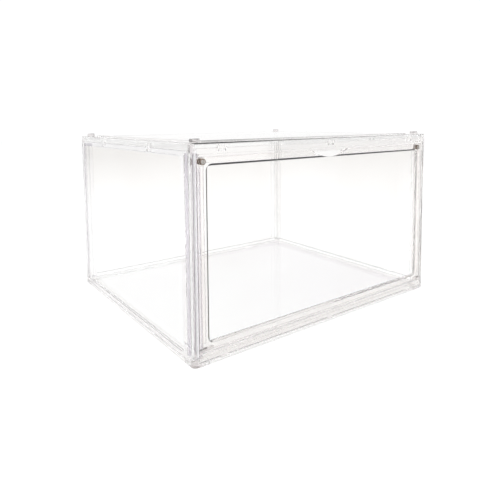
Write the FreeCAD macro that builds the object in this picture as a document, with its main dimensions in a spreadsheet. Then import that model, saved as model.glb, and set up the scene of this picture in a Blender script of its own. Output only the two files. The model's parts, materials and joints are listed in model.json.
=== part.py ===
"""Clear drop-front shoe box: seven snap-together panels, two hinge pins and four magnets.

Frame: millimetres, +Z up, +X to the right of someone facing the door, door side at -Y.
The origin is the centre of the box's underside. The door is modelled closed.
"""

import FreeCAD
import Part
import Sketcher
import math
import os

DIMENSIONS = {
    # whole box
    "box_width": 360.0,
    "box_depth": 306.0,
    "box_height": 209.0,
    "corner_radius": 5.0,
    "wall": 2.0,
    "seam": 0.2,
    # base
    "flange_height": 4.5,
    "flange_width": 13.0,
    "floor_top": 8.0,
    "floor_radius": 7.0,
    "rim_width": 2.2,
    "socket_corner": 18.0,
    # top
    "skirt_front": 5.0,
    "skirt_side": 7.0,
    "cap_height": 9.5,
    "ridge_inset": 16.0,
    "ridge_height": 1.2,
    "stud_inset": 11.0,
    "stud_radius": 5.0,
    "stud_height": 3.6,
    "socket_radius": 5.25,
    "socket_depth": 3.9,
    # corner posts and the flanges that lock into them
    "post_size": 6.0,
    "rib": 1.8,
    "flange_reach": 11.3,
    "lock_reach": 12.0,
    # tongues, hooks and their windows
    "clip_spread_x": 145.0,
    "clip_spread_y": 66.0,
    "tongue_half": 4.8,
    "tongue_length": 2.0,
    "notch_half": 5.0,
    "notch_reach": 2.2,
    "hook_half": 3.2,
    "hook_thickness": 1.6,
    "hook_gap": 0.3,
    "bead_depth": 1.3,
    "bead_height": 1.5,
    "window_half": 3.6,
    "window_height": 2.1,
    "window_drop_long": 1.0,
    "window_drop_short": 1.7,
    # shallow step round each side and back pane
    "pane_step": 0.5,
    "side_border_front": 18.5,
    "side_border_rear": 12.0,
    "side_border_top": 12.0,
    "side_border_bottom": 9.5,
    "back_border": 14.0,
    # door and the opening it closes
    "door_half_width": 169.5,
    "door_bottom": 13.5,
    "door_top": 195.7,
    "door_recess": 1.0,
    "door_thickness": 3.2,
    "door_radius": 1.5,
    "pane_half_width": 161.5,
    "pane_bottom": 21.2,
    "pane_top": 187.7,
    "pane_radius": 5.0,
    "pane_recess": 1.4,
    "opening_side_gap": 0.6,
    "opening_top_gap": 0.7,
    "opening_bottom": 12.8,
    "lip_half_width": 164.3,
    "lip_top": 190.4,
    "lip_start": 4.6,
    "lip_end": 6.4,
    "lip_foot": 20.0,
    # finger notch
    "notch_radius": 54.0,
    "notch_depth": 7.9,
    "relief_half": 22.0,
    "relief_top": 194.4,
    # hinge
    "hinge_height": 16.0,
    "hinge_setback": 2.2,
    "knuckle_radius": 2.0,
    "knuckle_inner": 158.0,
    "pin_radius": 1.0,
    "pin_fit": 0.05,
    "pin_inner": 165.0,
    "pin_outer": 173.0,
    "hinge_block_foot": 10.0,
    "hinge_block_head": 22.0,
    # magnets
    "magnet_x": 165.7,
    "magnet_height": 191.5,
    "magnet_radius": 3.0,
    "magnet_length": 2.6,
    "magnet_fit": 0.05,
    "magnet_boss_radius": 4.5,
    "magnet_boss_wall": 1.6,
    "magnet_inset": 0.2,
    # edge roundings
    "rim_round": 0.8,
    "seam_round": 0.3,
    "step_round": 0.45,
    "floor_round": 0.8,
    "cavity_round": 1.5,
    "ridge_round": 0.6,
    "stud_round": 0.8,
    "post_round": 0.5,
    "door_round": 0.6,
    "door_back_round": 0.3,
    "door_bevel_reach": 1.9,
    "door_bevel_depth": 1.2,
    "magnet_round": 0.3,
    "pin_round": 0.25,
}


class Length:
    """A length that knows both its value and the spreadsheet expression that gives it."""

    def __init__(self, value, text):
        self.value = value
        self.text = text

    def joined(self, sign, other, value):
        return Length(value, f"({self.text} {sign} {other.text})")

    def __add__(self, other):
        other = as_length(other)
        return self.joined("+", other, self.value + other.value)

    def __sub__(self, other):
        other = as_length(other)
        return self.joined("-", other, self.value - other.value)

    def __rsub__(self, other):
        return as_length(other) - self

    def __mul__(self, other):
        other = as_length(other)
        return self.joined("*", other, self.value * other.value)

    def __truediv__(self, other):
        other = as_length(other)
        return self.joined("/", other, self.value / other.value)

    def __neg__(self):
        return Length(-self.value, f"(0 - {self.text})")


def as_length(number):
    if isinstance(number, Length):
        return number
    return Length(float(number), repr(float(number)))


doc = FreeCAD.newDocument("shoe_box")


def fill_sheet():
    sheet = doc.addObject("Spreadsheet::Sheet", "dims")
    for row, (alias, number) in enumerate(DIMENSIONS.items(), start=1):
        sheet.set(f"A{row}", alias)
        sheet.set(f"B{row}", str(number))
        sheet.setAlias(f"B{row}", alias)
    doc.recompute()


def size(alias):
    return Length(DIMENSIONS[alias], f"dims.{alias}")


fill_sheet()

half_width = size("box_width") / 2
half_depth = size("box_depth") / 2
height = size("box_height")
wall = size("wall")
seam = size("seam")
post = size("post_size")
rib = size("rib")
BEYOND = 1.0  # how far a cut runs past the face it starts from
CLOSE = 0.01  # two levels nearer than this are the same level
LONG_EDGE = 100.0  # only the panels' own edges are longer than this


# ---- sketches and features -------------------------------------------------------------


def new_body(name):
    body = doc.addObject("PartDesign::Body", name)
    body.Label = name
    return body


def new_sketch(body, role, offset):
    """A sketch on one of the body's own origin planes, moved along the plane's normal."""
    sketch = body.newObject("Sketcher::SketchObject", f"{body.Name}_sketch")
    plane = [f for f in body.Origin.OriginFeatures if f.Role == role][0]
    sketch.AttachmentSupport = [(plane, "")]
    sketch.MapMode = "FlatFace"
    sketch.AttachmentOffset = FreeCAD.Placement(
        FreeCAD.Vector(0, 0, offset.value), FreeCAD.Rotation()
    )
    sketch.setExpression("AttachmentOffset.Base.z", offset.text)
    return sketch


def pin_down(sketch, kind, geometry, end, length):
    """Fixes one coordinate of a point, measured from the sketch's origin."""
    if length.value == 0:
        axis = -2 if kind == "DistanceX" else -1
        sketch.addConstraint(Sketcher.Constraint("PointOnObject", geometry, end, axis))
        return
    index = sketch.addConstraint(
        Sketcher.Constraint(kind, -1, 1, geometry, end, length.value)
    )
    sketch.setExpression(f"Constraints[{index}]", length.text)


def add_sharp_rectangle(sketch, x0, x1, y0, y1):
    corners = [
        FreeCAD.Vector(x, y, 0)
        for x, y in (
            (x0.value, y0.value),
            (x1.value, y0.value),
            (x1.value, y1.value),
            (x0.value, y1.value),
        )
    ]
    lines = []
    for number, corner in enumerate(corners):
        after = corners[(number + 1) % 4]
        lines.append(sketch.addGeometry(Part.LineSegment(corner, after), False))
    for number, line in enumerate(lines):
        after = lines[(number + 1) % 4]
        direction = "Horizontal" if number % 2 == 0 else "Vertical"
        sketch.addConstraint(Sketcher.Constraint("Coincident", line, 2, after, 1))
        sketch.addConstraint(Sketcher.Constraint(direction, line))
    pin_down(sketch, "DistanceX", lines[0], 1, x0)
    pin_down(sketch, "DistanceY", lines[0], 1, y0)
    pin_down(sketch, "DistanceX", lines[2], 1, x1)
    pin_down(sketch, "DistanceY", lines[2], 1, y1)


def add_rounded_rectangle(sketch, x0, x1, y0, y1, radius):
    xa, xb, ya, yb, r = (v.value for v in (x0, x1, y0, y1, radius))
    ends = [
        ((xa + r, ya), (xb - r, ya)),
        ((xb, ya + r), (xb, yb - r)),
        ((xb - r, yb), (xa + r, yb)),
        ((xa, yb - r), (xa, ya + r)),
    ]
    centres = [(xb - r, ya + r), (xb - r, yb - r), (xa + r, yb - r), (xa + r, ya + r)]
    lines = []
    arcs = []
    for number, (start, end) in enumerate(ends):
        line = Part.LineSegment(FreeCAD.Vector(*start, 0), FreeCAD.Vector(*end, 0))
        lines.append(sketch.addGeometry(line, False))
        circle = Part.Circle(
            FreeCAD.Vector(*centres[number], 0), FreeCAD.Vector(0, 0, 1), r
        )
        quarter = math.pi / 2
        first = (number - 1) * quarter
        arcs.append(
            sketch.addGeometry(Part.ArcOfCircle(circle, first, first + quarter), False)
        )
    for number, line in enumerate(lines):
        after = lines[(number + 1) % 4]
        arc = arcs[number]
        direction = "Horizontal" if number % 2 == 0 else "Vertical"
        sketch.addConstraint(Sketcher.Constraint("Tangent", line, 2, arc, 1))
        sketch.addConstraint(Sketcher.Constraint("Tangent", arc, 2, after, 1))
        sketch.addConstraint(Sketcher.Constraint(direction, line))
        if number > 0:
            sketch.addConstraint(Sketcher.Constraint("Equal", arcs[0], arc))
    index = sketch.addConstraint(Sketcher.Constraint("Radius", arcs[0], r))
    sketch.setExpression(f"Constraints[{index}]", radius.text)
    pin_down(sketch, "DistanceX", lines[3], 1, x0)
    pin_down(sketch, "DistanceY", lines[0], 1, y0)
    pin_down(sketch, "DistanceX", lines[1], 1, x1)
    pin_down(sketch, "DistanceY", lines[2], 1, y1)


def add_rectangle(sketch, x0, x1, y0, y1, radius=None):
    x0, x1, y0, y1 = (as_length(v) for v in (x0, x1, y0, y1))
    if radius is None:
        add_sharp_rectangle(sketch, x0, x1, y0, y1)
    else:
        add_rounded_rectangle(sketch, x0, x1, y0, y1, as_length(radius))


def add_circle(sketch, x, y, radius):
    x, y = as_length(x), as_length(y)
    centre = FreeCAD.Vector(x.value, y.value, 0)
    circle = Part.Circle(centre, FreeCAD.Vector(0, 0, 1), radius.value)
    number = sketch.addGeometry(circle, False)
    index = sketch.addConstraint(Sketcher.Constraint("Radius", number, radius.value))
    sketch.setExpression(f"Constraints[{index}]", radius.text)
    pin_down(sketch, "DistanceX", number, 3, x)
    pin_down(sketch, "DistanceY", number, 3, y)


def extrude(kind, body, role, layer, shapes):
    """Adds or cuts every outline in shapes over one layer: (offset, thickness) on a plane."""
    offset, thickness = (as_length(v) for v in layer)
    sketch = new_sketch(body, role, offset)
    for outline in shapes:
        if outline[0] == "circle":
            add_circle(sketch, *outline[1:])
        else:
            add_rectangle(sketch, *outline)
    feature = body.newObject(f"PartDesign::{kind}", f"{body.Name}_{kind.lower()}")
    feature.Profile = sketch
    feature.Reversed = kind == "Pocket"
    feature.Length = thickness.value
    feature.setExpression("Length", thickness.text)
    body.Tip = feature
    sketch.Visibility = False
    return feature


def add(body, role, layer, *shapes):
    return extrude("Pad", body, role, layer, shapes)


def cut(body, role, layer, *shapes):
    return extrude("Pocket", body, role, layer, shapes)


def soften(body, kind, amount_name, amount, wanted):
    """Works on the edges of the body so far whose bounding box passes the wanted test."""
    doc.recompute()
    base = body.Tip
    edges = [
        f"Edge{number}"
        for number, edge in enumerate(base.Shape.Edges, start=1)
        if wanted(edge.BoundBox)
    ]
    if not edges:
        raise RuntimeError(f"{body.Name} has no such edge")
    feature = body.newObject(f"PartDesign::{kind}", f"{body.Name}_{kind.lower()}")
    feature.Base = (base, edges)
    setattr(feature, amount_name, amount.value)
    feature.setExpression(amount_name, amount.text)
    body.Tip = feature
    return feature


def round_edges(body, radius, wanted):
    return soften(body, "Fillet", "Radius", radius, wanted)


def bevel_edges(body, reach, depth, wanted):
    """Cuts a slope that reaches along the face and goes down into the wall below it."""
    chamfer = soften(body, "Chamfer", "Size", reach, wanted)
    chamfer.ChamferType = "Two distances"
    chamfer.Size2 = depth.value
    chamfer.setExpression("Size2", depth.text)
    return chamfer


def span(bounds, axis):
    """The bounding box's least and greatest distance from the middle plane, and its length."""
    low = getattr(bounds, f"{axis}Min")
    high = getattr(bounds, f"{axis}Max")
    nearest = 0.0 if low < 0 < high else min(abs(low), abs(high))
    return nearest, max(abs(low), abs(high)), high - low


def lies_at(bounds, axis, level):
    """True for an edge that stays at one distance from the middle plane, on either side."""
    nearest, farthest, length = span(bounds, axis)
    flat = length < CLOSE
    return flat and abs(nearest - level.value) < CLOSE and abs(farthest - level.value) < CLOSE


def lies_within(bounds, x_reach, y_reach):
    return span(bounds, "X")[1] < x_reach.value and span(bounds, "Y")[1] < y_reach.value


# ---- layers: (offset along the plane's normal, thickness) ------------------------------


def between(low, high):
    """A horizontal layer from one height to another, on XY_Plane."""
    return low, as_length(high) - low


def from_front(near, far):
    """A layer near..far behind the front face, on XZ_Plane, whose normal points at -Y."""
    return half_depth - far, as_length(far) - near


def from_back(near, far):
    return as_length(near) - half_depth, as_length(far) - near


def from_side(side, near, far):
    """A layer near..far inside the left (-1) or right (+1) face, on YZ_Plane."""
    if side < 0:
        return as_length(near) - half_width, as_length(far) - near
    return half_width - far, as_length(far) - near


def flipped(low, high, side):
    """The interval low..high on the plus side, or its mirror image on the minus side."""
    low, high = as_length(low), as_length(high)
    return (low, high) if side > 0 else (-high, -low)


def around(centre, half):
    centre, half = as_length(centre), as_length(half)
    return centre - half, centre + half


clip_x = size("clip_spread_x")
clip_y = size("clip_spread_y")
LONG_CLIPS = (-clip_x, as_length(0), clip_x)
SHORT_CLIPS = (-clip_y, clip_y)
CORNERS = [(x, y) for x in (-1, 1) for y in (-1, 1)]

base_seam = size("flange_height") + seam
front_top_seam = height - size("skirt_front") - seam
side_top_seam = height - size("skirt_side") - seam
post_foot = size("floor_top") + seam
post_head = height - size("cap_height") - seam
panel_edge = half_width - post - seam
front_window_top = front_top_seam - size("window_drop_long")
side_window_top = side_top_seam - size("window_drop_short")


def corner_circles(radius):
    inset = size("stud_inset")
    x, y = half_width - inset, half_depth - inset
    return [("circle", x * sx, y * sy, radius) for sx, sy in CORNERS]


def edge_notches():
    """Outlines, seen from above, of the notches that the panels' tongues drop into."""
    reach = size("notch_reach")
    half = size("notch_half")
    shapes = []
    for side in (-1, 1):
        for x in LONG_CLIPS:
            rows = flipped(half_depth - reach, half_depth + BEYOND, side)
            shapes.append((*around(x, half), *rows))
    for side in (-1, 1):
        for y in SHORT_CLIPS:
            columns = flipped(half_width - reach, half_width + BEYOND, side)
            shapes.append((*columns, *around(y, half)))
    return shapes


# ---- base ------------------------------------------------------------------------------


def round_base(body):
    flange = size("flange_height")
    floor_top = size("floor_top")

    def under_rim(bounds):
        return lies_at(bounds, "Z", as_length(0))

    def floor_edge(bounds):
        return lies_at(bounds, "Z", floor_top) and lies_within(
            bounds, half_width - post, half_depth - post
        )

    def seam_edge(bounds):
        outside = lies_at(bounds, "X", half_width) or lies_at(bounds, "Y", half_depth)
        return outside and lies_at(bounds, "Z", flange)

    round_edges(body, size("rim_round"), under_rim)
    round_edges(body, size("floor_round"), floor_edge)
    round_edges(body, size("seam_round"), seam_edge)


def build_base():
    body = new_body("base_panel")
    flange = size("flange_height")
    floor_top = size("floor_top")
    inset = size("flange_width")
    rim = size("rim_width")
    corner = size("socket_corner")
    x_out, y_out = half_width, half_depth
    x_in, y_in = half_width - inset, half_depth - inset
    radius = size("corner_radius")

    add(body, "XY_Plane", (0, floor_top), (-x_out, x_out, -y_out, y_out, radius))
    over = between(flange, floor_top + BEYOND)
    x_post, y_post = half_width - post, half_depth - post
    y_past, x_past = half_depth + BEYOND, half_width + BEYOND
    cut(body, "XY_Plane", over, (-x_post, x_post, -y_past, y_past))
    cut(body, "XY_Plane", over, (-x_past, x_past, -y_post, y_post))
    floor = (-x_in, x_in, -y_in, y_in, size("floor_radius"))
    add(body, "XY_Plane", between(flange, floor_top), floor)
    round_base(body)

    hollow = (wall - x_in, x_in - wall, wall - y_in, y_in - wall, size("floor_radius"))
    cut(body, "XY_Plane", (0, floor_top - wall), hollow)
    x_run, y_run = half_width - corner, half_depth - corner
    channels = []
    for side in (-1, 1):
        channels.append((-x_run, x_run, *flipped(y_in, half_depth - rim, side)))
        channels.append((*flipped(x_in, half_width - rim, side), -y_run, y_run))
    cut(body, "XY_Plane", (0, flange - rim), *channels)
    socket_radius = size("socket_radius")
    cut(body, "XY_Plane", (0, size("socket_depth")), *corner_circles(socket_radius))
    notch_layer = between(flange - size("tongue_length"), flange + BEYOND)
    cut(body, "XY_Plane", notch_layer, *edge_notches())
    return body


# ---- top -------------------------------------------------------------------------------


def add_hooks(body):
    """Snap hooks that hang behind each panel's upper edge, with beads for its windows."""
    half = size("hook_half")
    near = wall + size("hook_gap")
    far = near + size("hook_thickness")
    bead_near = near - size("bead_depth")
    spare = (size("window_height") - size("bead_height")) / 2
    under = height - wall
    runs = (
        (LONG_CLIPS, half_depth, front_window_top, True),
        (SHORT_CLIPS, half_width, side_window_top, False),
    )
    for clips, reach, window_top, along_x in runs:
        window_foot = window_top - size("window_height")
        tabs = []
        beads = []
        for side in (-1, 1):
            tab_span = flipped(reach - far, reach - near, side)
            bead_span = flipped(reach - near, reach - bead_near, side)
            for clip in clips:
                width = around(clip, half)
                tabs.append((*width, *tab_span) if along_x else (*tab_span, *width))
                beads.append((*width, *bead_span) if along_x else (*bead_span, *width))
        add(body, "XY_Plane", between(window_foot - spare, under), *tabs)
        bead_layer = between(window_foot + spare, window_top - spare)
        add(body, "XY_Plane", bead_layer, *beads)


def round_top(body):
    ridge_top = height + size("ridge_height")
    stud_top = height + size("stud_height")
    front_foot = height - size("skirt_front")
    side_foot = height - size("skirt_side")

    def upper_rim(bounds):
        outer = not lies_within(bounds, half_width - BEYOND, half_depth - BEYOND)
        return lies_at(bounds, "Z", height) and outer

    def skirt_edge(bounds):
        along_front = lies_at(bounds, "Y", half_depth) and lies_at(bounds, "Z", front_foot)
        along_side = lies_at(bounds, "X", half_width) and lies_at(bounds, "Z", side_foot)
        return along_front or along_side

    round_edges(body, size("rim_round"), upper_rim)
    round_edges(body, size("ridge_round"), lambda bounds: lies_at(bounds, "Z", ridge_top))
    round_edges(body, size("stud_round"), lambda bounds: lies_at(bounds, "Z", stud_top))
    round_edges(body, size("seam_round"), skirt_edge)


def build_top():
    body = new_body("top_panel")
    x_out, y_out = half_width, half_depth
    foot = height - size("cap_height")
    x_post, y_post = half_width - post, half_depth - post
    x_past, y_past = half_width + BEYOND, half_depth + BEYOND

    outline = (-x_out, x_out, -y_out, y_out, size("corner_radius"))
    add(body, "XY_Plane", between(foot, height), outline)
    inner_radius = size("cavity_round")
    hollow = (wall - x_out, x_out - wall, wall - y_out, y_out - wall, inner_radius)
    cut(body, "XY_Plane", between(foot - BEYOND, height - wall), hollow)
    front_trim = between(foot - BEYOND, height - size("skirt_front"))
    side_trim = between(foot - BEYOND, height - size("skirt_side"))
    cut(body, "XY_Plane", front_trim, (-x_post, x_post, -y_past, y_past))
    cut(body, "XY_Plane", side_trim, (-x_past, x_past, -y_post, y_post))

    inset = size("ridge_inset")
    ridge = (inset - x_out, x_out - inset, inset - y_out, y_out - inset)
    ridge_layer = between(height, height + size("ridge_height"))
    add(body, "XY_Plane", ridge_layer, (*ridge, size("floor_radius")))
    inset = inset + wall
    under_ridge = (inset - x_out, x_out - inset, inset - y_out, y_out - inset)
    under_layer = between(height - wall - BEYOND, height - wall + size("ridge_height"))
    cut(body, "XY_Plane", under_layer, (*under_ridge, size("corner_radius")))
    stud_layer = between(height, height + size("stud_height"))
    add(body, "XY_Plane", stud_layer, *corner_circles(size("stud_radius")))
    round_top(body)

    reach = size("tongue_length")
    notches = edge_notches()
    front_count = 2 * len(LONG_CLIPS)
    front_foot = height - size("skirt_front")
    side_foot = height - size("skirt_side")
    front_layer = between(front_foot - BEYOND, front_foot + reach)
    side_layer = between(side_foot - BEYOND, side_foot + reach)
    cut(body, "XY_Plane", front_layer, *notches[:front_count])
    cut(body, "XY_Plane", side_layer, *notches[front_count:])
    add_hooks(body)
    return body


# ---- vertical panels -------------------------------------------------------------------


def tongues(clips, top, foot):
    """Each tongue starts inside the sheet, past the rounding of the sheet's edge."""
    half = size("tongue_half")
    reach = size("tongue_length")
    root = size("seam_round") * 2
    upper = [(*around(c, half), top - root, top + reach) for c in clips]
    lower = [(*around(c, half), foot - reach, foot + root) for c in clips]
    return upper + lower


def windows(clips, top):
    half = size("window_half")
    return [(*around(c, half), top - size("window_height"), top) for c in clips]


def round_posts(body):
    def outer_corner(bounds):
        at_corner = lies_at(bounds, "X", half_width) and lies_at(bounds, "Y", half_depth)
        return at_corner and bounds.ZLength > LONG_EDGE

    def inner_corner(bounds):
        at_corner = lies_at(bounds, "X", half_width - post)
        return at_corner and bounds.ZLength > LONG_EDGE

    def sheet_edge(bounds):
        level = lies_at(bounds, "Z", side_top_seam) or lies_at(bounds, "Z", base_seam)
        return lies_at(bounds, "X", half_width) and level

    round_edges(body, size("corner_radius"), outer_corner)
    round_edges(body, size("post_round"), inner_corner)
    round_edges(body, size("seam_round"), sheet_edge)


def round_pane_step(body, axis, level):
    """Softens the outer edge of the shallow step round a side or back pane."""
    pane_foot = size("side_border_bottom").value
    pane_head = (height - size("side_border_top")).value

    def step_edge(bounds):
        inside = bounds.ZMin > pane_foot - CLOSE and bounds.ZMax < pane_head + CLOSE
        return lies_at(bounds, axis, level) and inside

    round_edges(body, size("step_round"), step_edge)


def build_side(name, side):
    body = new_body(name)
    plane = "YZ_Plane"
    sheet_end = half_depth - post - seam
    lock_far = half_depth - size("flange_reach") - seam
    lock_near = lock_far - rib

    sheet = (-sheet_end, sheet_end, base_seam, side_top_seam)
    add(body, plane, from_side(side, 0, wall), sheet)
    posts = [(*flipped(sheet_end, half_depth, end), post_foot, post_head) for end in (-1, 1)]
    add(body, plane, from_side(side, 0, post), *posts)
    round_posts(body)
    locks = [(*flipped(lock_near, lock_far, end), post_foot, post_head) for end in (-1, 1)]
    add(body, plane, from_side(side, wall, size("lock_reach")), *locks)
    plug_start = half_depth - post
    plug_end = half_depth - wall - seam
    plug_head = height - wall - seam
    plugs = [(*flipped(plug_start, plug_end, end), post_head, plug_head) for end in (-1, 1)]
    add(body, plane, from_side(side, wall + seam, post), *plugs)
    add(body, plane, from_side(side, 0, wall), *tongues(SHORT_CLIPS, side_top_seam, base_seam))
    through = from_side(side, -BEYOND, wall + BEYOND)
    cut(body, plane, through, *windows(SHORT_CLIPS, side_window_top))
    pane = (
        size("side_border_front") - half_depth,
        half_depth - size("side_border_rear"),
        size("side_border_bottom"),
        height - size("side_border_top"),
        size("corner_radius"),
    )
    cut(body, plane, from_side(side, -BEYOND, size("pane_step")), pane)
    round_pane_step(body, "X", half_width)
    return body


def add_end_flanges(body, layer_of):
    """The two ribs that run behind the corner posts, on the front frame and the back."""
    flanges = [
        (*flipped(panel_edge - rib, panel_edge, end), post_foot, post_head)
        for end in (-1, 1)
    ]
    add(body, "XZ_Plane", layer_of(wall, size("flange_reach")), *flanges)


def round_sheet(body):
    """Rounds the outer edge of the front's or back's sheet where it meets its neighbours."""
    round_edges(body, size("seam_round"), lambda bounds: lies_at(bounds, "Y", half_depth))


def build_back():
    body = new_body("back_panel")
    plane = "XZ_Plane"
    sheet = (-panel_edge, panel_edge, base_seam, front_top_seam)
    add(body, plane, from_back(0, wall), sheet)
    round_sheet(body)
    add_end_flanges(body, from_back)
    add(body, plane, from_back(0, wall), *tongues(LONG_CLIPS, front_top_seam, base_seam))
    through = from_back(-BEYOND, wall + BEYOND)
    cut(body, plane, through, *windows(LONG_CLIPS, front_window_top))
    border = size("back_border")
    pane_x = half_width - border
    pane = (
        -pane_x,
        pane_x,
        size("side_border_bottom"),
        height - size("side_border_top"),
        size("corner_radius"),
    )
    cut(body, plane, from_back(-BEYOND, size("pane_step")), pane)
    round_pane_step(body, "Y", half_depth)
    return body


# ---- front frame, door and their fittings ----------------------------------------------


def magnet_places(radius):
    x = size("magnet_x")
    return [("circle", x * side, size("magnet_height"), radius) for side in (-1, 1)]


def hinge_circle(radius):
    return ("circle", size("hinge_setback") - half_depth, size("hinge_height"), radius)


def across(side, near, far):
    """A layer on YZ_Plane between two distances from the box's middle, left or right."""
    low, high = flipped(near, far, side)
    return low, high - low


def build_front_frame():
    body = new_body("front_frame")
    plane = "XZ_Plane"
    opening_x = size("door_half_width") + size("opening_side_gap")
    opening_top = size("door_top") + size("opening_top_gap")
    opening_foot = size("opening_bottom")
    lip_start = size("lip_start")
    lip_end = size("lip_end")
    jamb_x = opening_x + rib
    past_lip = lip_end + BEYOND

    sheet = (-panel_edge, panel_edge, base_seam, front_top_seam)
    add(body, plane, from_front(0, wall), sheet)
    round_sheet(body)
    backing = (-jamb_x, jamb_x, opening_foot - rib, opening_top + rib, rib * 2)
    add(body, plane, from_front(wall, lip_end), backing)
    hinge_blocks = [
        (
            *flipped(opening_x, panel_edge, side),
            size("hinge_block_foot"),
            size("hinge_block_head"),
        )
        for side in (-1, 1)
    ]
    add(body, plane, from_front(wall, lip_end), *hinge_blocks)
    add_end_flanges(body, from_front)

    cavity = (-opening_x, opening_x, opening_foot, opening_top, size("opening_side_gap"))
    cut(body, plane, from_front(-BEYOND, lip_start), cavity)
    round_edges(
        body,
        size("seam_round"),
        lambda bounds: lies_at(bounds, "Y", half_depth)
        and lies_within(bounds, opening_x + CLOSE, half_depth + BEYOND),
    )
    lip_x = size("lip_half_width")
    lip_hole = (-lip_x, lip_x, opening_foot, size("lip_top"), size("pane_radius"))
    cut(body, plane, from_front(-BEYOND, past_lip), lip_hole)
    hinge_room = (-opening_x, opening_x, opening_foot, size("lip_foot"))
    cut(body, plane, from_front(-BEYOND, past_lip), hinge_room)
    relief = size("relief_half")
    finger_room = (-relief, relief, size("lip_top") - BEYOND, size("relief_top"))
    cut(body, plane, from_front(lip_start - BEYOND, past_lip), finger_room)
    round_edges(
        body,
        size("seam_round"),
        lambda bounds: lies_at(bounds, "Y", half_depth - lip_end)
        and lies_within(bounds, lip_x + CLOSE, half_depth)
        and bounds.ZMin > size("lip_foot").value - CLOSE,
    )

    boss_radius = size("magnet_boss_radius")
    pocket_start = lip_start + size("magnet_boss_wall")
    boss_end = pocket_start + size("magnet_length") + size("magnet_inset")
    add(body, plane, from_front(lip_start, boss_end), *magnet_places(boss_radius))
    pocket_radius = size("magnet_radius") + size("magnet_fit")
    pocket_layer = from_front(pocket_start, boss_end + BEYOND)
    cut(body, plane, pocket_layer, *magnet_places(pocket_radius))

    bore_radius = size("pin_radius") + size("pin_fit")
    for side in (-1, 1):
        bore = across(side, opening_x - BEYOND, size("pin_outer") + seam)
        cut(body, "YZ_Plane", bore, hinge_circle(bore_radius))
    add(body, plane, from_front(0, wall), *tongues(LONG_CLIPS, front_top_seam, base_seam))
    through = from_front(-BEYOND, wall + BEYOND)
    cut(body, plane, through, *windows(LONG_CLIPS, front_window_top))
    return body


def build_door():
    body = new_body("door")
    plane = "XZ_Plane"
    x_out = size("door_half_width")
    face = size("door_recess")
    back = face + size("door_thickness")
    outline = (-x_out, x_out, size("door_bottom"), size("door_top"), size("door_radius"))
    add(body, plane, from_front(face, back), outline)
    round_edges(body, size("door_round"), lambda bounds: lies_at(bounds, "Y", half_depth - face))
    x_pane = size("pane_half_width")
    pane = (-x_pane, x_pane, size("pane_bottom"), size("pane_top"), size("pane_radius"))
    cut(body, plane, from_front(0, face + size("pane_recess")), pane)
    pane_edge = x_pane + CLOSE
    bevel_edges(
        body,
        size("door_bevel_reach"),
        size("door_bevel_depth"),
        lambda bounds: lies_at(bounds, "Y", half_depth - face)
        and lies_within(bounds, pane_edge, half_depth),
    )
    radius = size("notch_radius")
    notch_centre = size("door_top") - size("notch_depth") + radius
    notch = ("circle", 0, notch_centre, radius)
    cut(body, plane, from_front(0, back + BEYOND), notch)
    at_back = half_depth - back
    round_edges(body, size("door_back_round"), lambda bounds: lies_at(bounds, "Y", at_back))
    for side in (-1, 1):
        knuckle = across(side, size("knuckle_inner"), x_out)
        add(body, "YZ_Plane", knuckle, hinge_circle(size("knuckle_radius")))
    bore_radius = size("pin_radius") + size("pin_fit") / 2
    for side in (-1, 1):
        bore = across(side, size("pin_inner") - seam, x_out + BEYOND)
        cut(body, "YZ_Plane", bore, hinge_circle(bore_radius))
    pocket_radius = size("magnet_radius") + size("magnet_fit")
    pocket_layer = from_front(back - size("magnet_length"), back + BEYOND)
    cut(body, plane, pocket_layer, *magnet_places(pocket_radius))
    return body


def build_magnet(name, side, near):
    body = new_body(name)
    layer = from_front(near, near + size("magnet_length"))
    place = magnet_places(size("magnet_radius"))[0 if side < 0 else 1]
    add(body, "XZ_Plane", layer, place)
    round_edges(body, size("magnet_round"), lambda bounds: bounds.YLength < CLOSE)
    return body


def build_pin(name, side):
    body = new_body(name)
    layer = across(side, size("pin_inner"), size("pin_outer"))
    add(body, "YZ_Plane", layer, hinge_circle(size("pin_radius")))
    round_edges(body, size("pin_round"), lambda bounds: bounds.XLength < CLOSE)
    return body


def build_all():
    bodies = [
        build_base(),
        build_top(),
        build_side("left_side_panel", -1),
        build_side("right_side_panel", 1),
        build_back(),
        build_front_frame(),
        build_door(),
    ]
    door_magnet_start = size("door_recess") + size("door_thickness") - size("magnet_length")
    frame_magnet_start = size("lip_start") + size("magnet_boss_wall")
    for side, word in ((-1, "left"), (1, "right")):
        bodies.append(build_magnet(f"door_magnet_{word}", side, door_magnet_start))
        bodies.append(build_magnet(f"frame_magnet_{word}", side, frame_magnet_start))
        bodies.append(build_pin(f"hinge_pin_{word}", side))
    return bodies


def check_features(bodies):
    """Every object rebuilt, every cut took material away and every pad added some."""
    failed = [o.Name for o in doc.Objects if "Invalid" in o.State or "Error" in o.State]
    if failed:
        raise RuntimeError(f"objects failed to rebuild: {failed}")
    for body in bodies:
        volume = 0.0
        for feature in body.Group:
            if not feature.isDerivedFrom("PartDesign::Feature"):
                continue
            grew = feature.Shape.Volume - volume
            if feature.TypeId == "PartDesign::Pocket" and grew >= 0:
                raise RuntimeError(f"{feature.Name} cut nothing")
            if feature.TypeId == "PartDesign::Pad" and grew <= 0:
                raise RuntimeError(f"{feature.Name} added nothing")
            volume = feature.Shape.Volume
        if body.Shape.isNull() or not body.Shape.isValid() or len(body.Shape.Solids) != 1:
            raise RuntimeError(f"{body.Label} is not one valid solid")


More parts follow.
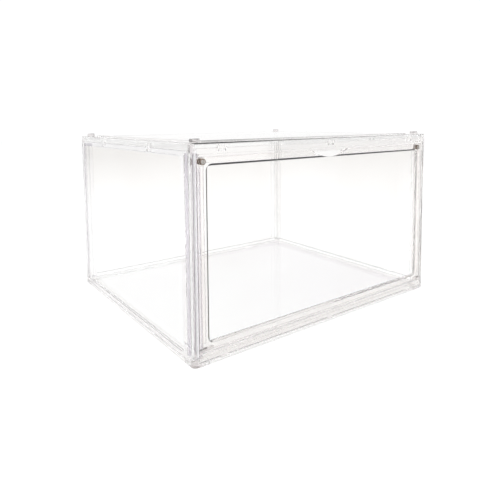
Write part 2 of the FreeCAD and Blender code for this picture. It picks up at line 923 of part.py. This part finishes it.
def write_parts(bodies):
    os.makedirs("parts", exist_ok=True)
    for body in bodies:
        body.Shape.exportStep(f"parts/{body.Label}.step")
        bounds = body.Shape.BoundBox
        print(
            f"{body.Label}: {body.Shape.Volume / 1000:.2f} cm3,",
            f"x {bounds.XMin:.2f}..{bounds.XMax:.2f},",
            f"y {bounds.YMin:.2f}..{bounds.YMax:.2f},",
            f"z {bounds.ZMin:.2f}..{bounds.ZMax:.2f}",
        )


all_bodies = build_all()
doc.recompute()
check_features(all_bodies)
write_parts(all_bodies)
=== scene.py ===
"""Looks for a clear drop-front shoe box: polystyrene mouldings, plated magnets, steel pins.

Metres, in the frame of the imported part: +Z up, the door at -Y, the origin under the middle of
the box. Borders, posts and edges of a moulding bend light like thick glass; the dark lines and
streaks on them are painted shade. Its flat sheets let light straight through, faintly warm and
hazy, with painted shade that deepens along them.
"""

import json
import math
from functools import reduce

import bpy
from mathutils import Matrix, Vector


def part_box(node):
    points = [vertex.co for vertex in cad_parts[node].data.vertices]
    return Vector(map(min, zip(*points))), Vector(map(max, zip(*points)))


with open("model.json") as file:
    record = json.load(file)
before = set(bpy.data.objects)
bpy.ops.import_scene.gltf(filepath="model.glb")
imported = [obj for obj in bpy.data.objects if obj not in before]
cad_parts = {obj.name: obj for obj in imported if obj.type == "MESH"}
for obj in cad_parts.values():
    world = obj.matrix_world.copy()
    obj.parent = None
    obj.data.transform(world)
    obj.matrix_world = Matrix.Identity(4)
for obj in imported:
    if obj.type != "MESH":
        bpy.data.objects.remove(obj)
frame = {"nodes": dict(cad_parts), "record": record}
bpy.context.view_layer.update()
scene = bpy.context.scene


# ---- places on the box -----------------------------------------------------------------

BASE_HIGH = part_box("base_panel")[1]
HALF_WIDTH = BASE_HIGH[0]
HALF_DEPTH = BASE_HIGH[1]
FLOOR_TOP = BASE_HIGH[2]
STUD_HEIGHT = 0.0036
LID_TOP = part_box("top_panel")[1][2] - STUD_HEIGHT
CORNER_RADIUS = 0.005
BEVEL_REACH = 0.0019
BEVEL_DEPTH = 0.0012
BEVEL_OUT = BEVEL_REACH / math.hypot(BEVEL_REACH, BEVEL_DEPTH)
BEVEL_ASIDE = BEVEL_DEPTH / math.hypot(BEVEL_REACH, BEVEL_DEPTH)

FRONT = (0, -1, 0)
LEFT = (-1, 0, 0)
RIGHT = (1, 0, 0)
FRONT_AND_UP = (0, -1, 1)
LEFT_AND_DOWN = (-1, 0, -1)
BEVEL_ON_RIGHT = (-BEVEL_ASIDE, -BEVEL_OUT, 0)
BEVEL_BELOW = (0, -BEVEL_OUT, BEVEL_ASIDE)

# How closely a surface faces a direction: (cosine where a look starts, cosine where it is full).
SQUARE_ON = (0.97, 0.99)
LID_EDGE_TURN = (0.78, 0.88)
BASE_EDGE_TURN = (0.8, 0.9)
FLANK_TURN = (0.6, 0.85)
ROUND_TURN = (0.9995, 0.99)

# Bands across a surface: (from, to).
LID_RIM = (LID_TOP - 0.0012, LID_TOP + 0.0002)
STUD_FOOT = (LID_TOP + 0.0004, LID_TOP + 0.0006)
BASE_LIP = (FLOOR_TOP - 0.0014, FLOOR_TOP + 0.0002)
PANEL_FOOT = (FLOOR_TOP + 0.0007, FLOOR_TOP + 0.0015)
STREAK_BAND = (HALF_WIDTH - 0.0067, HALF_WIDTH - 0.0049)
BEVEL_BAND = (-BEVEL_OUT - 0.05, -BEVEL_OUT + 0.05)
CORNER_X = (HALF_WIDTH - CORNER_RADIUS - 0.0001, HALF_WIDTH - CORNER_RADIUS + 0.0001)
CORNER_Y = (HALF_DEPTH - CORNER_RADIUS - 0.0001, HALF_DEPTH - CORNER_RADIUS + 0.0001)
FRONT_HALF = (0.01, -0.01)
BEHIND_FRONT = (-HALF_DEPTH + 0.013, -HALF_DEPTH + 0.023)
MAGNET_DEPTHS = (-HALF_DEPTH - 0.007, -HALF_DEPTH + 0.013)
SIDE_SHEET_HEIGHTS = (FLOOR_TOP + 0.0025, LID_TOP - 0.0127)

# Margins between a node's box and the rooms inside it.
BEYOND = 0.001
RIB_SKIN = 0.0021
SIDE_SHEET_FRONT = 0.019
SIDE_SHEET_REAR = 0.0125
BACK_SHEET_MARGINS = (0.0085, -BEYOND, 0.0105)
LID_SHEET_MARGINS = (0.019, 0.019, -BEYOND)
BASE_SHEET_MARGINS = (0.0126, 0.0126, -BEYOND)
WINDOW_SIDE = 0.0081
WINDOW_FOOT = 0.0078
RIB_NEAR = 0.011
RIB_FAR = 0.0136
MAGNET_REACH = 0.0045
MAGNET_INNER_REACH = 0.001
MAGNET_RIM = 0.0008

# ---- looks of the plastic --------------------------------------------------------------

POLYSTYRENE_IOR = 1.57
BORDER_GLASS = 0.85
LID_GLASS = 0.6
BEHIND_PANE = (1.0, 3.0, 1.0, 0.22)
SHEET_CLEAR = (0.995, 0.995, 0.994)
SHADOW_CLEAR = (0.985, 0.985, 0.985)
CLEAR_BODY = (0.996, 0.993, 0.99)
BODY_TINTS = {
    "door": (0.995, 0.985, 0.978),
    "front_frame": (0.992, 0.978, 0.968),
    "left_side_panel": (0.992, 0.986, 0.995),
    "base_panel": (0.93, 0.915, 0.905),
}
# Painted shade on the upright ribs of the left side panel.
RIB_SHADE = (0.62, 0.59, 0.65)
# Painted shade on each moulding's rounded edges, standing in for the dark lines that bent light
# shows there.
EDGE_SHADE_TINTS = {
    "door": (0.72, 0.67, 0.66),
    "front_frame": (0.1, 0.08, 0.08),
    "top_panel": (0.82, 0.79, 0.79),
    "base_panel": (0.66, 0.62, 0.62),
    "left_side_panel": (0.3, 0.27, 0.31),
    "right_side_panel": (0.55, 0.5, 0.51),
    "back_panel": (0.75, 0.73, 0.75),
}
# Painted light on the right and lower parts of the slope round the door's window.
BEVEL_PAINTED_LIGHT = (0.97, 0.96, 0.955)
# A paler painted shade for edges at some heights.
PALE_EDGE_SHADE = (0.74, 0.7, 0.71)
# The colour of the painted shade lines.
PAINTED_SHADE_LINE = (0.001, 0.0008, 0.001)

# Hazy clouds and painted shade over a sheet: the axis the shade grows along, from where to where,
# how strong, what colour.
WALL_HAZE_AND_SHADE = ("Z", 0.08, 0.19, 0.75, (0.968, 0.961, 0.953))
HAZE_AND_SHADE_VEILS = {"base_panel": ("X", -0.12, 0.14, 0.9, (0.972, 0.965, 0.97))}

# Spreads: (from, to, result at from, result at to).
SHEET_GLOSS = (0.35, 0.75, 0.01, 0.06)
GLASS_GLOSS = (0.35, 0.75, 0.0, 0.012)
CLOUD_VEIL = (0.3, 0.7, -0.2, 0.25)
LIP_PATCHES = (0.42, 0.58, 0.3, 1.0)
RIM_FADE = (-HALF_WIDTH + 0.06, HALF_WIDTH - 0.01, 1.0, 0.35)
NEAR_STUDS = (-HALF_DEPTH + 0.033, -HALF_DEPTH + 0.023, 0.0, 0.8)

# Noises: (scale, detail, roughness).
SMEAR_NOISE = (38.0, 4.0, 0.6)
FLOW_NOISE = (9.0, 1.0, 0.4)
PATCH_NOISE = (9.0, 2.0, 0.5)
CLOUD_NOISE = (7.0, 2.0, 0.5)
WAVE_STRENGTH = 0.008
WAVE_HEIGHT = 0.002

# How dark the painted shade lines are: the window's slope by the way it leans, then the others.
SLOPE_TO_RIGHT = 1.2
SLOPE_UPWARDS = -1.0
SLOPE_LEVEL = 0.65
BASE_FOOT_STRENGTH = 0.95
PANEL_FOOT_STRENGTH = 0.85
PALE_BELOW = 0.7

# Painted shade streaks round a front corner: (share of the quarter turn from its side to its front,
# grey).
POST_SHADE_STREAKS = [
    (0.0, 0.8),
    (0.12, 0.3),
    (0.2, 0.85),
    (0.42, 0.88),
    (0.52, 0.3),
    (0.6, 0.82),
    (0.78, 0.88),
    (0.86, 0.4),
    (0.94, 0.85),
    (1.0, 0.6),
]

# Strengths up the box: (height, strength), on a ruler a little longer than the box is high.
RULER = 0.25
# How strong the painted shade streak beside the right front corner is.
SHADE_STREAK_HEIGHTS = [(0.0, 0.3), (0.035, 0.3), (0.05, 0.9), (0.125, 0.9), (0.14, 0.45), (0.2, 0.3)]
# Where the painted edge shade turns pale.
PALE_SHADE_HEIGHTS = {
    "front_frame": [(0.0, 0.6), (0.018, 0.6), (0.022, 0.0), (0.187, 0.0), (0.189, 1.0)],
    "left_side_panel": [(0.0, 1.0), (0.012, 1.0), (0.014, 0.0)],
}

# ---- looks of the metals, the stage and the light --------------------------------------

NICKEL = ((0.62, 0.58, 0.55), (0.9, 0.88, 0.86))
NICKEL_NOISE = (900.0, 3.0, 0.6)
NICKEL_GLOSS_NOISE = (1500.0, 2.0, 0.5)
NICKEL_GLOSS = (0.3, 0.7, 0.3, 0.55)
# Painted shade towards a magnet's rim: its colour, then where it starts and where it is full, as
# shares of the radius.
SHADED_RIM = (0.2, 0.14, 0.1)
RIM_SHADE_FROM = 0.62
RIM_SHADE_TO = 0.85
STEEL = ((0.3, 0.29, 0.29), (0.5, 0.5, 0.5))
STEEL_NOISE = (2500.0, 3.0, 0.6)
STEEL_GLOSS_NOISE = (1800.0, 2.0, 0.5)
STEEL_GLOSS = (0.3, 0.7, 0.25, 0.5)

FLOOR_HALF = 6.0
FLOOR_DROP = 0.0002
FLOOR_WHITE = 0.96
FLOOR_FADE = (0.8, 2.6, FLOOR_WHITE, 0.75)
PAPER_STRENGTH = 1.07

# The studio's brightness: (degrees from +Y towards +X, grey) and (degrees up, grey).
STUDIO_ROUND = [(-180, 1.0), (-60, 1.0), (-35, 0.8), (2, 0.8), (12, 1.0), (180, 1.0)]
STUDIO_UP = [(-90, 1.0), (14, 1.0), (22, 0.85), (45, 0.85), (55, 1.05), (90, 1.05)]
LAMP_PLACE = (0.2, 0.3, 1.6)
LAMP_SIDE = 2.4
LAMP_POWER = 4.0

CAMERA_PLACE = (-0.3886, -0.5165, 0.2282)
CAMERA_TURN = math.radians(35.96)
CAMERA_TILT = math.radians(4.71)
CAMERA_ROLL = math.radians(-0.55)
CAMERA_LENS = 35.37
CAMERA_SENSOR = 36.0
CAMERA_SHIFT = (-0.001, -0.167)
CLEAR_BOUNCES = 32
GLOSS_BOUNCES = 12


# ---- node helpers ----------------------------------------------------------------------


class Graph:
    """Short names for making and joining shader nodes."""

    def __init__(self, tree):
        self.tree = tree
        tree.nodes.clear()

    def node(self, kind, **values):
        made = self.tree.nodes.new(kind)
        for key, value in values.items():
            setattr(made, key, value)
        return made

    def put(self, value, socket):
        """Gives a socket its value: another node's output, a number, a vector or a colour."""
        if isinstance(value, bpy.types.NodeSocket):
            self.tree.links.new(value, socket)
        elif socket.type == "RGBA":
            socket.default_value = (*value, 1.0)
        else:
            socket.default_value = value

    def set(self, node, **inputs):
        for key, value in inputs.items():
            self.put(value, node.inputs[key.replace("_", " ")])

    def position(self):
        return self.node("ShaderNodeTexCoord").outputs["Object"]

    def normal(self):
        return self.node("ShaderNodeTexCoord").outputs["Normal"]

    def parts(self, vector):
        """The X, Y and Z outputs of a vector."""
        made = self.node("ShaderNodeSeparateXYZ")
        self.put(vector, made.inputs[0])
        return made.outputs

    def vector(self, operation, *values):
        made = self.node("ShaderNodeVectorMath", operation=operation)
        for value, socket in zip(values, made.inputs):
            self.put(value, socket)
        return made.outputs

    def math(self, operation, *values, clamp=False):
        made = self.node("ShaderNodeMath", operation=operation, use_clamp=clamp)
        for value, socket in zip(values, made.inputs):
            self.put(value, socket)
        return made.outputs[0]

    def product(self, first, second):
        return self.math("MULTIPLY", first, second)

    def maximum(self, first, second):
        return self.math("MAXIMUM", first, second)

    def between(self, value, low, high):
        """1 from low to high, 0 outside."""
        return self.math("COMPARE", value, (low + high) / 2, (high - low) / 2)

    def spread(self, value, low, high, to_low=0.0, to_high=1.0):
        """A value between low and high, laid out evenly from to_low to to_high."""
        made = self.node("ShaderNodeMapRange")
        self.set(made, Value=value, From_Min=low, From_Max=high, To_Min=to_low, To_Max=to_high)
        return made.outputs["Result"]

    def noise(self, scale, detail, roughness):
        made = self.node("ShaderNodeTexNoise")
        self.set(made, Vector=self.position(), Scale=scale, Detail=detail, Roughness=roughness)
        return made.outputs["Fac"]

    def ramp(self, value, stops):
        """Greys at stops, which are (place from 0 to 1, grey)."""
        made = self.node("ShaderNodeValToRGB")
        self.put(value, made.inputs["Fac"])
        marks = made.color_ramp.elements
        while len(marks) < len(stops):
            marks.new(0.5)
        for mark, (place, grey) in zip(marks, stops):
            mark.position = place
            mark.color = (grey, grey, grey, 1.0)
        return made.outputs["Color"]

    def mixed(self, share, first, second, way="MIX"):
        """Two colours mixed; each is a socket or three numbers."""
        made = self.node("ShaderNodeMixRGB", blend_type=way)
        self.set(made, Fac=share, Color1=first, Color2=second)
        return made.outputs[0]

    def blended(self, share, first, second):
        """Two shaders mixed."""
        made = self.node("ShaderNodeMixShader")
        for value, socket in zip((share, first, second), made.inputs):
            self.put(value, socket)
        return made.outputs[0]

    def output(self, kind, **inputs):
        """The first output of a new node with these inputs."""
        made = self.node(kind)
        self.set(made, **inputs)
        return made.outputs[0]

    def show(self, shader, kind="ShaderNodeOutputMaterial"):
        self.set(self.node(kind), Surface=shader)


def new_material(name):
    material = bpy.data.materials.new(name)
    material.use_nodes = True
    return material, Graph(material.node_tree)


def facing(g, direction, turn):
    """1 where the surface points along a direction, 0 where it points elsewhere."""
    along = g.vector("DOT_PRODUCT", g.normal(), Vector(direction).normalized())
    return g.spread(along["Value"], *turn)


def up_the_box(g, strengths):
    """A strength that changes with height."""
    level = g.spread(g.parts(g.position())["Z"], 0.0, RULER)
    return g.ramp(level, [(height / RULER, strength) for height, strength in strengths])


def in_rooms(g, rooms):
    """1 inside any of these boxes, 0 outside them all."""
    place = g.parts(g.position())
    masks = []
    for low, high in rooms:
        sides = [g.between(place[name], low[axis], high[axis]) for axis, name in enumerate("XYZ")]
        masks.append(reduce(g.product, sides))
    return reduce(g.maximum, masks)


# ---- rooms: boxes round the sheets, ribs and magnets -----------------------------------


def shrunk(low, high, margins):
    """A node's box, moved in by a margin on each axis; a negative margin moves out."""
    inner_low = [a + m for a, m in zip(low, margins)]
    inner_high = [b - m for b, m in zip(high, margins)]
    return inner_low, inner_high


def rib_rooms(node):
    """The upright ribs that lock a side panel to the front frame and the back panel."""
    low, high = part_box(node)
    if low[0] < 0:
        low = (low[0] + RIB_SKIN, *low[1:])
    else:
        high = (high[0] - RIB_SKIN, *high[1:])
    near = ((low[0], low[1] + RIB_NEAR, low[2]), (high[0], low[1] + RIB_FAR, high[2]))
    far = ((low[0], high[1] - RIB_FAR, low[2]), (high[0], high[1] - RIB_NEAR, high[2]))
    return [near, far]


def magnet_views():
    """Clear windows over the magnets, wide enough for both of a pair to show."""
    front, back = MAGNET_DEPTHS
    low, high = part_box("frame_magnet_left")
    foot, head = low[2] - MAGNET_RIM, high[2] + MAGNET_RIM
    near = ((low[0] - MAGNET_REACH, front, foot), (high[0] + MAGNET_INNER_REACH, back, head))
    low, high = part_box("frame_magnet_right")
    far = ((low[0] - MAGNET_REACH, front, foot), (high[0] + MAGNET_REACH, back, head))
    return [near, far]


def side_sheet(low, high):
    """The pane of a side panel, between its posts and its upper and lower borders."""
    foot, head = SIDE_SHEET_HEIGHTS
    lowest = (low[0] - BEYOND, low[1] + SIDE_SHEET_FRONT, foot)
    highest = (high[0] + BEYOND, high[1] - SIDE_SHEET_REAR, head)
    return lowest, highest


def door_window(low, high):
    """The pane of the door, up to the slope that runs round it."""
    lowest = (low[0] + WINDOW_SIDE, low[1] - BEYOND, low[2] + WINDOW_FOOT)
    highest = (high[0] - WINDOW_SIDE, high[1] + BEYOND, high[2] - WINDOW_SIDE)
    return lowest, highest


def sheet_rooms(node):
    """Where each moulding is a plain sheet."""
    low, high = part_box(node)
    if node.endswith("side_panel"):
        return [side_sheet(low, high)]
    if node == "back_panel":
        return [shrunk(low, high, BACK_SHEET_MARGINS)]
    if node == "top_panel":
        return [shrunk(low, high, LID_SHEET_MARGINS)]
    if node == "base_panel":
        return [shrunk(low, high, BASE_SHEET_MARGINS)]
    if node == "door":
        return [door_window(low, high), *magnet_views()]
    return magnet_views()


# ---- painted shade lines on the plastic ------------------------------------------------


def window_line(g):
    """Painted shade on the slope round the door's window: dark above and on the left, faint below.
    """
    along = g.parts(g.normal())
    slope = g.between(along["Y"], *BEVEL_BAND)
    on_left = g.math("MULTIPLY_ADD", along["X"], SLOPE_TO_RIGHT, SLOPE_LEVEL)
    above = g.math("MULTIPLY_ADD", along["Z"], SLOPE_UPWARDS, on_left, clamp=True)
    return g.product(slope, above)


def front_strip(g, low, high):
    """A strip of the front face between two heights, beside a rounded edge."""
    level = g.between(g.parts(g.position())["Z"], low, high)
    return g.product(level, facing(g, FRONT, SQUARE_ON))


def stud_flanks(g):
    """The left and right flanks of the two studs nearest the door."""
    place = g.parts(g.position())
    above_lid = g.spread(place["Z"], *STUD_FOOT)
    near = g.spread(place["Y"], *NEAR_STUDS)
    flank = g.maximum(facing(g, RIGHT, FLANK_TURN), facing(g, LEFT, FLANK_TURN))
    return g.product(g.product(above_lid, near), flank)


def rim_line(g):
    """Painted shade on the rounded upper front edge of the lid and its front studs, fading to the
    right.
    """
    edge = facing(g, FRONT_AND_UP, LID_EDGE_TURN)
    line = g.maximum(g.maximum(edge, front_strip(g, *LID_RIM)), stud_flanks(g))
    return g.product(line, g.spread(g.parts(g.position())["X"], *RIM_FADE))


def seam_line(g):
    """Painted shade on the lip of the base under the front frame, and on its lower left edge."""
    edge = facing(g, FRONT_AND_UP, BASE_EDGE_TURN)
    patches = g.spread(g.noise(*PATCH_NOISE), *LIP_PATCHES)
    strip = g.product(front_strip(g, *BASE_LIP), patches)
    foot = g.product(facing(g, LEFT_AND_DOWN, BASE_EDGE_TURN), BASE_FOOT_STRENGTH)
    return g.maximum(g.maximum(edge, strip), foot)


def foot_line(g):
    """Painted shade on the lowest edge of a panel, where it stands on the base."""
    return g.product(g.between(g.parts(g.position())["Z"], *PANEL_FOOT), PANEL_FOOT_STRENGTH)


def edge_shade_streak(g):
    """The painted shade line beside the right front corner, strongest half way up."""
    place = g.parts(g.position())
    on_front = g.product(g.between(place["X"], *STREAK_BAND), facing(g, FRONT, SQUARE_ON))
    streak = g.product(on_front, up_the_box(g, SHADE_STREAK_HEIGHTS))
    behind = g.spread(place["Y"], *BEHIND_FRONT)
    return g.maximum(streak, g.product(foot_line(g), behind))


SHADE_LINES = {
    "door": window_line,
    "top_panel": rim_line,
    "base_panel": seam_line,
    "right_side_panel": edge_shade_streak,
    "back_panel": foot_line,
}


# ---- clear plastic ---------------------------------------------------------------------


def roundness(g):
    """0 on the flat faces that lie square to the box, 1 on rounded edges and corners."""
    along = g.parts(g.vector("ABSOLUTE", g.normal())[0])
    most = g.maximum(along["X"], g.maximum(along["Y"], along["Z"]))
    return g.spread(most, *ROUND_TURN)


def on_corner_rounds(g):
    """1 on the four upright corner rounds of the box, 0 elsewhere."""
    apart = g.parts(g.vector("ABSOLUTE", g.position())[0])
    return g.product(g.spread(apart["X"], *CORNER_X), g.spread(apart["Y"], *CORNER_Y))


def post_shade_colour(g, colour):
    """The corner rounds stay clear, with fine upright lines of painted shade on the front ones."""
    along = g.parts(g.vector("ABSOLUTE", g.normal())[0])
    turn = g.spread(g.math("ARCTAN2", along["Y"], along["X"]), 0.0, math.pi / 2)
    front = g.spread(g.parts(g.position())["Y"], *FRONT_HALF)
    streaks = g.ramp(g.product(turn, front), POST_SHADE_STREAKS)
    return g.mixed(on_corner_rounds(g), colour, streaks)


def bevel_lit_colour(g, colour):
    """Painted light: the slope round the door's window is pale on the right and below."""
    right = facing(g, BEVEL_ON_RIGHT, SQUARE_ON)
    below = g.product(facing(g, BEVEL_BELOW, SQUARE_ON), PALE_BELOW)
    return g.mixed(g.maximum(right, below), colour, BEVEL_PAINTED_LIGHT)


def edge_shade_colour(g, node):
    """The painted shade on a moulding's rounded edges."""
    colour = EDGE_SHADE_TINTS[node]
    if node == "door":
        colour = bevel_lit_colour(g, colour)
    if node in PALE_SHADE_HEIGHTS:
        colour = g.mixed(up_the_box(g, PALE_SHADE_HEIGHTS[node]), colour, PALE_EDGE_SHADE)
    if node.endswith("side_panel"):
        colour = post_shade_colour(g, colour)
    return colour


def body_colour(g, node):
    """The colour of a moulding's flat walls and borders, with painted shade on the left side
    panel's ribs.
    """
    colour = BODY_TINTS.get(node, CLEAR_BODY)
    if node == "left_side_panel":
        colour = g.mixed(in_rooms(g, rib_rooms(node)), colour, RIB_SHADE)
    return colour


def haze_and_shade(g, node, in_sheet):
    """Soft faint clouds, and painted shade that grows along the sheet: up a wall, across the base
    to the right.
    """
    axis, low, high, strength, tone = HAZE_AND_SHADE_VEILS.get(node, WALL_HAZE_AND_SHADE)
    along = g.spread(g.parts(g.position())[axis], low, high, 0.0, strength)
    clouds = g.spread(g.noise(*CLOUD_NOISE), *CLOUD_VEIL)
    clouds_and_shade = g.math("ADD", along, clouds, clamp=True)
    return g.mixed(g.product(clouds_and_shade, in_sheet), SHEET_CLEAR, tone)


def thin_sheet(g, node, in_sheet, smears, normal):
    """A sheet with parallel faces: nothing bends, and its outer face mirrors a little."""
    clear = g.output("ShaderNodeBsdfTransparent", Color=haze_and_shade(g, node, in_sheet))
    sheen = g.spread(smears, *SHEET_GLOSS)
    gloss = g.output("ShaderNodeBsdfGlossy", Color=(1.0, 1.0, 1.0), Roughness=sheen, Normal=normal)
    mirror = g.output("ShaderNodeFresnel", IOR=POLYSTYRENE_IOR)
    outer = g.math("SUBTRACT", 1.0, g.node("ShaderNodeNewGeometry").outputs["Backfacing"])
    return g.blended(g.product(outer, mirror), clear, gloss)


def thick_glass(g, node, smears, normal):
    """The glass of borders and edges, with painted shade on its edges and lines, and where it bends
    light in full.
    """
    rounded = roundness(g)
    colour = g.mixed(rounded, body_colour(g, node), edge_shade_colour(g, node))
    bending = rounded
    # Painted shade lines darken the glass where they run.
    if node in SHADE_LINES:
        line = SHADE_LINES[node](g)
        colour = g.mixed(line, colour, PAINTED_SHADE_LINE)
        bending = g.maximum(rounded, line)
    glass = g.output(
        "ShaderNodeBsdfPrincipled",
        Transmission_Weight=1.0,
        IOR=POLYSTYRENE_IOR,
        Base_Color=colour,
        Roughness=g.spread(smears, *GLASS_GLOSS),
        Normal=normal,
    )
    return glass, bending


def glass_share(g, node, bending, in_sheet, ray):
    """How much of the light bends: all at edges, most in borders, none in sheets.

    Behind another clear wall the borders count for less, so that the far side stays pale.
    """
    share = g.maximum(bending, LID_GLASS if node == "top_panel" else BORDER_GLASS)
    paler = g.spread(ray["Transparent Depth"], *BEHIND_PANE)
    share = g.product(g.product(share, paler), g.math("SUBTRACT", 1.0, in_sheet))
    return g.maximum(share, ray["Is Transmission Ray"])


def clear_plastic(node):
    material, g = new_material(f"clear_{node}")
    ray = g.node("ShaderNodeLightPath").outputs
    smears = g.noise(*SMEAR_NOISE)
    waves = g.noise(*FLOW_NOISE)
    normal = g.output("ShaderNodeBump", Strength=WAVE_STRENGTH, Distance=WAVE_HEIGHT, Height=waves)
    in_sheet = in_rooms(g, sheet_rooms(node))
    glass, bending = thick_glass(g, node, smears, normal)
    sheet = thin_sheet(g, node, in_sheet, smears, normal)
    seen = g.blended(glass_share(g, node, bending, in_sheet, ray), sheet, glass)
    shade = g.output("ShaderNodeBsdfTransparent", Color=SHADOW_CLEAR)
    lamp_ray = g.maximum(ray["Is Shadow Ray"], ray["Is Diffuse Ray"])
    g.show(g.blended(lamp_ray, seen, shade))
    return material


# ---- metals ----------------------------------------------------------------------------


def bare_metal(g, colour, gloss_noise, gloss):
    """A metal surface with uneven gloss."""
    return g.output(
        "ShaderNodeBsdfPrincipled",
        Metallic=1.0,
        Base_Color=colour,
        Roughness=g.spread(g.noise(*gloss_noise), *gloss),
    )


def plated_magnet(node):
    """Nickel plating with a painted highlight in the middle of the disc and painted shade towards
    its rim.
    """
    material, g = new_material(f"nickel_plating_{node}")
    low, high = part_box(node)
    radius = (high[2] - low[2]) / 2
    centre = ((low[0] + high[0]) / 2, 0.0, (low[2] + high[2]) / 2)
    flat = g.vector("MULTIPLY", g.position(), (1.0, 0.0, 1.0))[0]
    reach = g.vector("DISTANCE", flat, centre)["Value"]
    rim = g.spread(reach, RIM_SHADE_FROM * radius, RIM_SHADE_TO * radius)
    plating = g.mixed(g.noise(*NICKEL_NOISE), *NICKEL)
    colour = g.mixed(rim, plating, SHADED_RIM)
    g.show(bare_metal(g, colour, NICKEL_GLOSS_NOISE, NICKEL_GLOSS))
    return material


def pin_steel():
    """Drawn steel with fine, uneven gloss."""
    material, g = new_material("drawn_steel")
    colour = g.mixed(g.noise(*STEEL_NOISE), *STEEL)
    g.show(bare_metal(g, colour, STEEL_GLOSS_NOISE, STEEL_GLOSS))
    return material


def dress_nodes():
    steel = pin_steel()
    for part in frame["record"]["subparts"]:
        name = part["node"]
        node = frame["nodes"][name]
        if part["material_slot"] == "magnet_metal":
            finish = plated_magnet(name)
        elif part["material_slot"] == "pin_steel":
            finish = steel
        else:
            finish = clear_plastic(name)
        node.data.materials.clear()
        node.data.materials.append(finish)


# ---- stage, light and camera -----------------------------------------------------------


def floor_paper():
    """White paper, seen darker far away in the plastic's reflections."""
    material, g = new_material("floor_paper")
    ray = g.node("ShaderNodeLightPath").outputs
    mirrored = g.math("GREATER_THAN", ray["Is Glossy Ray"], ray["Is Transmission Ray"])
    reach = g.vector("LENGTH", g.position())["Value"]
    far = g.spread(reach, *FLOOR_FADE)
    tone = g.mixed(mirrored, (FLOOR_WHITE, FLOOR_WHITE, FLOOR_WHITE), far)
    g.show(g.output("ShaderNodeBsdfDiffuse", Color=tone))
    return material


def lay_floor():
    corners = [(-1, -1), (1, -1), (1, 1), (-1, 1)]
    mesh = bpy.data.meshes.new("floor")
    places = [(x * FLOOR_HALF, y * FLOOR_HALF, -FLOOR_DROP) for x, y in corners]
    mesh.from_pydata(places, [], [(0, 1, 2, 3)])
    mesh.materials.append(floor_paper())
    floor = bpy.data.objects.new("floor", mesh)
    scene.collection.objects.link(floor)


def light_world():
    """White to the eye and for lighting. What shines in the plastic is a studio with grey walls."""
    world = bpy.data.worlds.new("studio")
    world.use_nodes = True
    scene.world = world
    g = Graph(world.node_tree)
    along = g.parts(g.node("ShaderNodeTexCoord").outputs["Generated"])
    turn = g.spread(g.math("ARCTAN2", along["X"], along["Y"]), -math.pi, math.pi)
    rise = g.spread(along["Z"], -1.0, 1.0)
    round_stops = [((angle + 180) / 360, grey) for angle, grey in STUDIO_ROUND]
    up_stops = [((math.sin(math.radians(angle)) + 1) / 2, grey) for angle, grey in STUDIO_UP]
    walls = g.mixed(1.0, g.ramp(turn, round_stops), g.ramp(rise, up_stops), "MULTIPLY")
    studio = g.output("ShaderNodeBackground", Color=walls, Strength=1.0)
    paper = g.output("ShaderNodeBackground", Color=(1.0, 1.0, 1.0), Strength=PAPER_STRENGTH)
    ray = g.node("ShaderNodeLightPath").outputs
    plain = g.maximum(ray["Is Camera Ray"], ray["Is Diffuse Ray"])
    g.show(g.blended(plain, studio, paper), "ShaderNodeOutputWorld")


def hang_lamp():
    """A large soft lamp overhead that doesn't show in the plastic."""
    light = bpy.data.lights.new("overhead", "AREA")
    light.size = LAMP_SIDE
    light.energy = LAMP_POWER
    lamp = bpy.data.objects.new("overhead", light)
    lamp.location = LAMP_PLACE
    lamp.rotation_euler = (-Vector(LAMP_PLACE)).to_track_quat("-Z", "Y").to_euler()
    lamp.visible_glossy = False
    lamp.visible_transmission = False
    scene.collection.objects.link(lamp)


def set_camera():
    camera = bpy.data.cameras.new("camera")
    camera.sensor_width = CAMERA_SENSOR
    camera.lens = CAMERA_LENS
    camera.shift_x, camera.shift_y = CAMERA_SHIFT
    turned = Matrix.Rotation(-CAMERA_TURN, 4, "Z")
    tilted = Matrix.Rotation(math.pi / 2 - CAMERA_TILT, 4, "X")
    rolled = Matrix.Rotation(CAMERA_ROLL, 4, "Z")
    eye = bpy.data.objects.new("camera", camera)
    eye.matrix_world = Matrix.Translation(CAMERA_PLACE) @ turned @ tilted @ rolled
    scene.collection.objects.link(eye)
    scene.camera = eye


def set_render_look():
    scene.view_settings.view_transform = "Standard"
    scene.cycles.max_bounces = CLEAR_BOUNCES
    scene.cycles.transmission_bounces = CLEAR_BOUNCES
    scene.cycles.transparent_max_bounces = CLEAR_BOUNCES
    scene.cycles.glossy_bounces = GLOSS_BOUNCES
    scene.cycles.caustics_refractive = False
    scene.cycles.caustics_reflective = False


dress_nodes()
lay_floor()
light_world()
hang_lamp()
set_camera()
set_render_look()
